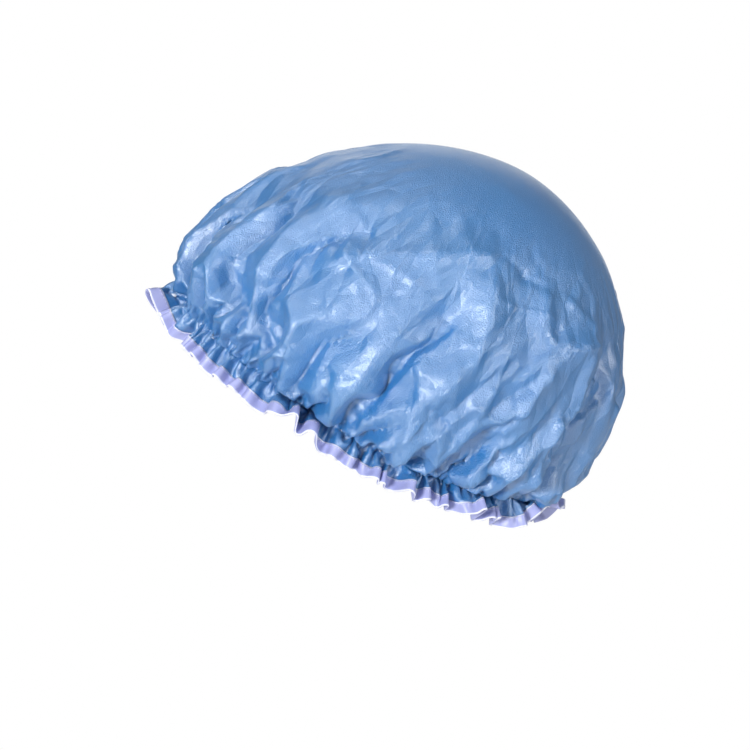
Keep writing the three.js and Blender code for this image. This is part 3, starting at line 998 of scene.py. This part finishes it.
def make_elastic():
    """A flat braided band inside the lining, its cords standing up a little, its ends lapped at the nape."""
    lap = ELASTIC_LAP / OPENING_HALF[0]
    angle = math.pi / 2 + np.linspace(0, TURN + lap, ELASTIC_STEPS)
    inside = smoothstep(angle, math.pi / 2 + TURN - lap, math.pi / 2 + TURN)
    face = -ELASTIC_STAND_OFF - (ELASTIC_THICKNESS + ELASTIC_LAP_GAP) * inside
    across = np.linspace(-0.5, 0.5, ELASTIC_CORDS * CORD_POINTS + 1)
    swell = CORD_RISE * abs(np.cos(across * ELASTIC_CORDS * math.pi)) - CORD_RISE
    round_off = BAND_ROUNDING_SHARE * ELASTIC_THICKNESS * (2 * abs(across)) ** BAND_ROUNDING_POWER
    places = []
    for height, puff, thin in zip(-across * ELASTIC_WIDTH, swell, round_off):
        places.append(opening_point(angle, face + puff - thin, height))
    for height, puff, thin in zip(across * ELASTIC_WIDTH, swell, round_off):
        places.append(opening_point(angle, face - ELASTIC_THICKNESS - puff + thin, height))
    return strip_object("elastic_braid", np.stack(places, 2))


# The stitches

STITCH_LENGTH = 1.4
STITCH_PITCH = 2.4
THREAD_RADIUS = 0.17
STITCH_SHARES = [-1, -0.75, 0.75, 1]  # of its half length, where the thread has the widths below
THREAD_SHARES = [0.25, 1, 1, 0.25]
STITCH_SIDES = 6
STANDING_SHARE = 0.3  # of the thread's radius, by which a stitch's middle stands off what it is sewn to
RIBBON_SEAM = 0.9  # from the ribbon's edge to its row of stitches
ZIGZAG_PITCH = 2.6
ZIGZAG_WIDTH = 3.4
ZIGZAG_STANDING_SHARE = 0.2
ZIGZAG_STEPS = 4 * ELASTIC_STEPS  # in which its line is measured
TACK_STITCHES = 9
TACK_HALF_WIDTH = 1.6
TACK_SHARES = (0.25, 0.75)  # of the lap, where they are
TACK_HEIGHT_SHARE = 0.7  # of the elastic's width
TACK_STANDING_SHARE = 0.4


def stitches_object(name, places, runs, outs, lengths):
    """Short threads that lie on the cloth at places, along runs. All but lengths are (3, n)."""
    sides = unit(cross(runs, outs))
    outs = unit(cross(sides, runs))
    rings = []
    for along, width in zip(STITCH_SHARES, THREAD_SHARES):
        for turn in TURN * np.arange(STITCH_SIDES) / STITCH_SIDES:
            off = THREAD_RADIUS * width * (math.cos(turn) * outs + math.sin(turn) * sides)
            rings.append(places + along * lengths / 2 * runs + off)
    corners = np.stack(rings, 2)
    _, count, around = corners.shape
    index = np.arange(count * around).reshape(count, len(STITCH_SHARES), STITCH_SIDES)
    after = np.roll(index, -1, 2)
    faces = [np.stack([index[:, :-1], after[:, :-1], after[:, 1:], index[:, 1:]], -1).reshape(-1, 4)]
    for end in (index[:, 0, ::-1], index[:, -1]):
        for k in range(STITCH_SIDES // 2 - 1):
            faces.append(np.stack([end[:, k], end[:, k + 1], end[:, -2 - k], end[:, -1 - k]], 1))
    points = to_frame(corners.reshape(3, -1)).T
    return mesh_object(name, points, faces, points[:, :2] + points[:, 2:])


def spread_along(line, others, pitch):
    """Evenly spaced places along a line (3, n), and the others' values (3, n) there."""
    arc = running_total(step_lengths(line))
    at = np.arange(pitch / 2, arc[-1], pitch)
    return [np.stack([np.interp(at, arc, axis) for axis in values]) for values in (line, others)]


def running_stitches(name, line, outs):
    """A row of stitches, each in the middle of one of the line's steps, so that it lies on the cloth."""
    steps = np.diff(line, axis=1)
    lengths = length(steps)
    arc = np.cumsum(lengths)
    on = np.searchsorted(arc, np.arange(STITCH_PITCH / 2, arc[-1], STITCH_PITCH))
    places = line[:, on] + steps[:, on] / 2
    out = outs[:, on] + outs[:, on + 1]
    return stitches_object(name, places, unit(steps[:, on]), out, np.minimum(STITCH_LENGTH, lengths[on]))


def closed(line):
    return np.concatenate([line, line[:, :1]], 1)


def make_elastic_stitches(radii, points, normals):
    """The row that sews the elastic on, on the cover's outer face."""
    row = int(np.argmin(abs(radii - NECK_RADIUS)))
    off = SEAM_GAP / 2 + COVER_THICKNESS + STANDING_SHARE * THREAD_RADIUS
    face = points[:, row] + off * normals[:, row]
    return running_stitches("elastic_stitches", closed(face), closed(normals[:, row]))


def make_ribbon_stitches(name, radii, points, normals, side):
    """The row along the ribbon's edge on one of its faces."""
    row = int(np.argmin(abs(radii - (EDGE_RADIUS - RIBBON_WIDTH + RIBBON_SEAM))))
    off = side * (RIBBON_STAND_OFF + RIBBON_THICKNESS + STANDING_SHARE * THREAD_RADIUS)
    face = points[:, row] + off * normals[:, row]
    return running_stitches(name, closed(face), closed(side * normals[:, row]))


def level_inwards(angle):
    return -np.stack([*outwards(angle), np.zeros_like(angle)])


def make_zigzag():
    """The zigzag on the elastic's inner face."""
    angle = np.linspace(0, TURN, ZIGZAG_STEPS) + math.pi / 2
    face = -ELASTIC_STAND_OFF - ELASTIC_THICKNESS - ZIGZAG_STANDING_SHARE * THREAD_RADIUS
    places, inwards = spread_along(opening_point(angle, face), level_inwards(angle), ZIGZAG_PITCH)
    runs = unit(np.gradient(places, axis=1))
    slope = ZIGZAG_WIDTH / ZIGZAG_PITCH * np.where(np.arange(places.shape[1]) % 2, 1, -1)
    runs = unit(runs + slope * unit(cross(runs, inwards)))
    lengths = np.full(places.shape[1], math.hypot(ZIGZAG_WIDTH, ZIGZAG_PITCH))
    return stitches_object("elastic_zigzag", places, runs, inwards, lengths)


def make_tacks():
    """Bars of close stitches across the elastic's lap at the nape."""
    lap = ELASTIC_LAP / OPENING_HALF[0]
    reach = TACK_HALF_WIDTH / OPENING_HALF[0] * np.linspace(-1, 1, TACK_STITCHES)
    angle = math.pi / 2 + np.concatenate([share * lap + reach for share in TACK_SHARES])
    off = ELASTIC_STAND_OFF + 2 * ELASTIC_THICKNESS + ELASTIC_LAP_GAP + TACK_STANDING_SHARE * THREAD_RADIUS
    places = opening_point(angle, -off)
    runs = np.repeat(np.array([[0.0], [0.0], [1.0]]), len(angle), 1)
    lengths = np.full(len(angle), TACK_HEIGHT_SHARE * ELASTIC_WIDTH)
    return stitches_object("lap_tacks", places, runs, level_inwards(angle), lengths)


# The looks

WHITE = (1, 1, 1, 1)
SMOOTH_TOP_RADII = (55, 120)  # between which the satin's crumples grow
WANDER_SCALE = 40
WANDER_REACH = 0.012
THREAD_UNEVENNESS = 0.3

# What stands out of each surface: its scale, how deep it is in metres, and its strength
Pattern = namedtuple("Pattern", "scale depth strength")
SATIN_CREASES = Pattern(34, 0.002, 0.6)
WIDE_CRUMPLES = Pattern(55, 0.007, 0.6)
NARROW_CRUMPLES = Pattern(130, 0.0022, 0.4)
SATIN_SLUBS = Pattern(260, 0.0001, 0.5)
SATIN_FLOATS = Pattern(560, 0.00006, 0.35)
SATIN_YARNS = Pattern(1300, 0.0005, 1.0)
FILM_WRINKLES = Pattern(90, 0.0006, 0.4)
RIBBON_CRUSH = Pattern(160, 0.0003, 0.5)
RIBBON_RIBS = Pattern(420, 0.00005, 0.4)
RIBBON_YARNS = Pattern(1400, 0.0001, 0.6)
BRAID_RIBS = Pattern(300, 0.0003, 0.6)
BRAID_YARNS = Pattern(1800, 0.0002, 0.5)
THREAD_PLIES = Pattern(900, 0.0001, 0.6)


def linear(red, green, blue):
    """A colour as the screen's values from 0 to 255, as linear light."""
    values = [c / 255 for c in (red, green, blue)]
    return [((v + 0.055) / 1.055) ** 2.4 if v > 0.04 else v / 12.92 for v in values] + [1.0]


# The two shades of each surface and their scale, the ribbon's painted highlight lines and the threads
SATIN_SHADES = (linear(22, 107, 174), linear(33, 121, 187))
SATIN_SHADE_SCALE = 14
RIBBON_SHADES = (linear(148, 155, 208), linear(172, 177, 222))
RIBBON_SHADE_SCALE = 60
# painted highlight: a near-white colour for the lines along the ribbon's edges and its fold
RIBBON_PAINTED_HIGHLIGHT = linear(228, 230, 246)
BRAID_SHADES = (linear(225, 225, 218), linear(244, 244, 240))
BRAID_SHADE_SCALE = 500
BLUE_THREAD = linear(58, 122, 186)
PALE_THREAD = linear(214, 214, 236)

# Each material's plain values. Where a surface has shades, the colour here is for tools that read one.
SATIN = {
    "Base Color": linear(28, 112, 176),
    "Roughness": 0.36,
    "IOR": 1.95,
    "Specular IOR Level": 0.9,
    "Coat Weight": 0.4,
    "Coat Roughness": 0.22,
    "Anisotropic": 0.55,
    "Sheen Weight": 0.25,
    "Sheen Roughness": 0.35,
    "Sheen Tint": linear(190, 215, 250),
}
FILM = {"Base Color": linear(234, 240, 248), "Roughness": 0.28, "Transmission Weight": 0.25, "IOR": 1.1}
RIBBON = {"Base Color": linear(160, 162, 208), "Roughness": 0.36, "Specular IOR Level": 0.6}
BRAID = {"Base Color": linear(238, 238, 232), "Roughness": 0.8}
THREAD = {"Roughness": 0.5, "Sheen Weight": 0.4}
FLOOR = {"Base Color": (0.8, 0.8, 0.8, 1), "Roughness": 0.9}


def plain_material(name, values):
    """values gives the surface's sockets their numbers and colours."""
    material = bpy.data.materials.new(name)
    material.use_nodes = True
    shader = material.node_tree.nodes["Principled BSDF"]
    for socket, value in values.items():
        shader.inputs[socket].default_value = value
    return material, material.node_tree, shader


def dress(tree, shader, looks):
    """Links the surface's sockets to the outputs that looks gives them."""
    for socket, value in looks.items():
        tree.links.new(value, shader.inputs[socket])


def node(tree, kind, values, **settings):
    """A new node's outputs. values gives its sockets numbers, colours or other nodes' outputs."""
    made = tree.nodes.new("ShaderNode" + kind)
    for name, value in settings.items():
        setattr(made, name, value)
    for socket, value in values.items():
        if isinstance(value, bpy.types.NodeSocket):
            tree.links.new(value, made.inputs[socket])
        else:
            made.inputs[socket].default_value = value
    return made.outputs


def flat_place(tree):
    """The place in the flat cut, in metres."""
    return node(tree, "UVMap", {}, uv_map="flat")["UV"]


def noise(tree, place, scale, detail=2.0, roughness=0.5, distortion=0.0, kind="FBM"):
    values = {"Vector": place, "Scale": scale, "Detail": detail, "Roughness": roughness,
              "Distortion": distortion}
    return node(tree, "TexNoise", values, noise_type=kind)["Fac"]


def thread_wave(tree, place, direction, scale):
    values = {"Vector": place, "Scale": scale, "Distortion": THREAD_UNEVENNESS}
    return node(tree, "TexWave", values, bands_direction=direction)["Fac"]


def crumples(tree, place, scale):
    """Flat facets that meet in thin sharp lines."""
    values = {"Vector": place, "Scale": scale, "Randomness": 1.0}
    return node(tree, "TexVoronoi", values, feature="DISTANCE_TO_EDGE")["Distance"]


def maths(tree, operation, *values):
    return node(tree, "Math", dict(enumerate(values)), operation=operation)[0]


def vectors(tree, operation, values):
    return node(tree, "VectorMath", values, operation=operation)


def radius_in_cut(tree, place):
    return vectors(tree, "LENGTH", {0: place})["Value"]


def down_the_cap(tree, place):
    """Coordinates whose features are drawn out down the cap, as its folds are."""
    direction = vectors(tree, "NORMALIZE", {0: place})["Vector"]
    round_cap = vectors(tree, "SCALE", {0: direction, "Scale": CROWN_HALF[0] * MM})["Vector"]
    drawn = maths(tree, "MULTIPLY", radius_in_cut(tree, place), DOWN_SHARE)
    down = node(tree, "CombineXYZ", {"Z": drawn})["Vector"]
    return vectors(tree, "ADD", {0: round_cap, 1: down})["Vector"]


def wandering(tree, place):
    """The coordinates, each moved a little by noise."""
    moves = node(tree, "TexNoise", {"Vector": place, "Scale": WANDER_SCALE})["Color"]
    return vectors(tree, "MULTIPLY_ADD", {0: moves, 1: (WANDER_REACH,) * 3, 2: place})["Vector"]


def off_the_top(tree, place, value):
    """The value, fading to nothing towards the smooth top."""
    low, high = (radius * MM for radius in SMOOTH_TOP_RADII)
    values = {"Value": radius_in_cut(tree, place), "From Min": low, "From Max": high}
    share = node(tree, "MapRange", values, interpolation_type="SMOOTHSTEP")["Result"]
    return maths(tree, "MULTIPLY", value, share)


def relief(tree, layers, below=None):
    """A normal, from rows of a height and its pattern, laid over the normal below."""
    for height, pattern in layers:
        values = {"Height": height, "Distance": pattern.depth, "Strength": pattern.strength}
        if below:
            values["Normal"] = below
        below = node(tree, "Bump", values)["Normal"]
    return below


def blend(tree, factor, first, second):
    """A colour between two, by a factor from 0 to 1."""
    return node(tree, "Mix", {"Factor": factor, "A": first, "B": second}, data_type="RGBA")["Result"]


def satin_material():
    """A satin weave: the floats of its warp give it a soft sheen drawn out across them, and the yarns a
    fine sparkle."""
    material, tree, shader = plain_material("satin", SATIN)
    place = flat_place(tree)
    bent = wandering(tree, down_the_cap(tree, place))
    creases = noise(tree, place, SATIN_CREASES.scale, detail=3.0, roughness=0.45, distortion=0.5,
                    kind="RIDGED_MULTIFRACTAL")
    cloth = relief(tree, [
        (creases, SATIN_CREASES),
        (off_the_top(tree, place, crumples(tree, bent, WIDE_CRUMPLES.scale)), WIDE_CRUMPLES),
        (off_the_top(tree, place, crumples(tree, bent, NARROW_CRUMPLES.scale)), NARROW_CRUMPLES),
        (noise(tree, place, SATIN_SLUBS.scale, detail=3.0, roughness=0.6), SATIN_SLUBS),
        (thread_wave(tree, place, "X", SATIN_FLOATS.scale), SATIN_FLOATS),
    ])
    yarns = noise(tree, place, SATIN_YARNS.scale, detail=1.0, roughness=0.7)
    dress(tree, shader, {
        "Tangent": node(tree, "Tangent", {}, direction_type="UV_MAP", uv_map="flat")["Tangent"],
        "Coat Normal": cloth,
        "Normal": relief(tree, [(yarns, SATIN_YARNS)], cloth),
        "Base Color": blend(tree, noise(tree, place, SATIN_SHADE_SCALE), *SATIN_SHADES),
    })
    return material


def film_material():
    """A thin soft plastic film, clouded and with a gloss."""
    material, tree, shader = plain_material("film", FILM)
    wrinkles = noise(tree, flat_place(tree), FILM_WRINKLES.scale, detail=3.0, distortion=0.6)
    dress(tree, shader, {"Normal": relief(tree, [(wrinkles, FILM_WRINKLES)])})
    return material


def painted_highlight_lines(tree, place):
    """A painted highlight line along the ribbon's woven edges and its fold, else nothing."""
    across = node(tree, "SeparateXYZ", {0: place})["Y"]
    fold = (RIBBON_WIDTH + RIBBON_FOLD + RIBBON_THICKNESS) * MM
    lines = [maths(tree, "COMPARE", across, at, HIGHLIGHT_LINE_HALF_WIDTH * MM) for at in (0, 2 * fold, fold)]
    return maths(tree, "ADD", maths(tree, "ADD", lines[0], lines[1]), lines[2])


def ribbon_material():
    """A narrow satin ribbon with a painted highlight along its woven edges and its fold."""
    material, tree, shader = plain_material("ribbon", RIBBON)
    place = flat_place(tree)
    normal = relief(tree, [
        (noise(tree, place, RIBBON_CRUSH.scale, distortion=0.4), RIBBON_CRUSH),
        (thread_wave(tree, place, "X", RIBBON_RIBS.scale), RIBBON_RIBS),
        (noise(tree, place, RIBBON_YARNS.scale, detail=1.0), RIBBON_YARNS),
    ])
    colour = blend(tree, noise(tree, place, RIBBON_SHADE_SCALE), *RIBBON_SHADES)
    # the painted highlight is blended into the colour along the edges and the fold
    highlighted = blend(tree, painted_highlight_lines(tree, place), colour, RIBBON_PAINTED_HIGHLIGHT)
    dress(tree, shader, {"Normal": normal, "Base Color": highlighted})
    return material


def thread_material(name, colour):
    """Twisted sewing thread."""
    material, tree, shader = plain_material(name, {"Base Color": colour, **THREAD})
    plies = thread_wave(tree, flat_place(tree), "DIAGONAL", THREAD_PLIES.scale)
    dress(tree, shader, {"Normal": relief(tree, [(plies, THREAD_PLIES)])})
    return material


def elastic_material():
    """Covered rubber threads in a flat braid."""
    material, tree, shader = plain_material("elastic", BRAID)
    place = flat_place(tree)
    normal = relief(tree, [
        (thread_wave(tree, place, "DIAGONAL", BRAID_RIBS.scale), BRAID_RIBS),
        (noise(tree, place, BRAID_YARNS.scale, detail=1.0), BRAID_YARNS),
    ])
    colour = blend(tree, noise(tree, place, BRAID_SHADE_SCALE, detail=1.0), *BRAID_SHADES)
    dress(tree, shader, {"Normal": normal, "Base Color": colour})
    return material


# The stage

FLOOR_SIDE = 12
FLOOR_HEIGHT = -0.46
AMBIENT = 0.22
LAMPS = [  # name, place, size and power
    ("key", (1.25, -0.70, 0.25), 0.35, 19),
    ("top", (0.2, -0.3, 1.5), 0.6, 7),
    ("side", (0.9, 1.0, 0.35), 0.3, 7),
    ("far side", (-1.25, 0.0, 0.15), 1.2, 5),
]
CAMERA_ELEVATION = math.radians(12)
CAMERA_DISTANCE = 1.2083
CAMERA_SHIFT = 0.02
CAMERA_LENS = 100
CAMERA_FILM = 36


def for_camera(tree, lighting, seen):
    """Gives the camera's own rays the second of two shaders and all others the first."""
    rays = node(tree, "LightPath", {})["Is Camera Ray"]
    return node(tree, "MixShader", {0: rays, 1: lighting, 2: seen})[0]


def make_stage():
    corners = np.array([(-1, -1), (1, -1), (1, 1), (-1, 1)]) * FLOOR_SIDE / 2
    points = np.concatenate([corners, np.full((4, 1), FLOOR_HEIGHT)], 1)
    floor = mesh_object("floor", points, [np.array([[0, 1, 2, 3]])])
    material, tree, shader = plain_material("floor", FLOOR)
    light = node(tree, "Emission", {"Strength": 1.0})[0]
    surface = tree.nodes["Material Output"].inputs["Surface"]
    tree.links.new(for_camera(tree, shader.outputs[0], light), surface)
    floor.data.materials.append(material)


def make_world():
    world = bpy.data.worlds.new("studio")
    bpy.context.scene.world = world
    world.use_nodes = True
    tree = world.node_tree
    ambient = tree.nodes["Background"]
    ambient.inputs["Color"].default_value = WHITE
    ambient.inputs["Strength"].default_value = AMBIENT
    white = node(tree, "Background", {"Color": WHITE})[0]
    surface = tree.nodes["World Output"].inputs["Surface"]
    tree.links.new(for_camera(tree, ambient.outputs[0], white), surface)


def make_lamp(name, place, size, power):
    light = bpy.data.lights.new(name, "AREA")
    light.size = size
    light.energy = power
    stand = in_scene(name, light)
    stand.location = place
    stand.rotation_euler = Vector(place).to_track_quat("Z", "Y").to_euler()


def make_camera():
    camera = bpy.data.cameras.new("camera")
    camera.lens = CAMERA_LENS
    camera.sensor_width = CAMERA_FILM
    camera.shift_x = camera.shift_y = CAMERA_SHIFT
    stand = in_scene("camera", camera)
    direction = Vector((math.cos(CAMERA_ELEVATION), 0, math.sin(CAMERA_ELEVATION)))
    stand.location = CAMERA_DISTANCE * direction
    stand.rotation_euler = (math.pi / 2 - CAMERA_ELEVATION, 0, math.pi / 2)
    bpy.context.scene.camera = stand
    bpy.context.scene.view_settings.view_transform = "Standard"


def finish_piece(piece, material, slot, *nodes):
    piece.data.materials.append(material)
    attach(piece, "root")
    if nodes:
        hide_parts(*nodes)


make_camera()
make_world()
make_stage()
for lamp in LAMPS:
    make_lamp(*lamp)

radii, points = with_top(simulate_cloth())
normals = surface_frame(points)
under = beneath(radii, points)
under_normals = surface_frame(under)
cover = make_cover(radii, points, normals, under, under_normals)
finish_piece(cover, satin_material(), "satin", "satin_cover")
lining = make_lining(radii, under, under_normals)
finish_piece(lining, film_material(), "film", "film_lining")
ribbon = make_ribbon(radii, points, normals)
finish_piece(ribbon, ribbon_material(), "ribbon", "edge_binding")
elastic = make_elastic()
finish_piece(elastic, elastic_material(), "elastic", "elastic_band")

blue_thread = thread_material("blue_thread", BLUE_THREAD)
pale_thread = thread_material("pale_thread", PALE_THREAD)
finish_piece(make_elastic_stitches(radii, points, normals), blue_thread, "satin")
for name, side in (("ribbon_stitches_out", 1), ("ribbon_stitches_in", -1)):
    finish_piece(make_ribbon_stitches(name, radii, points, normals, side), pale_thread, "ribbon")
finish_piece(make_zigzag(), pale_thread, "elastic")
finish_piece(make_tacks(), pale_thread, "elastic")
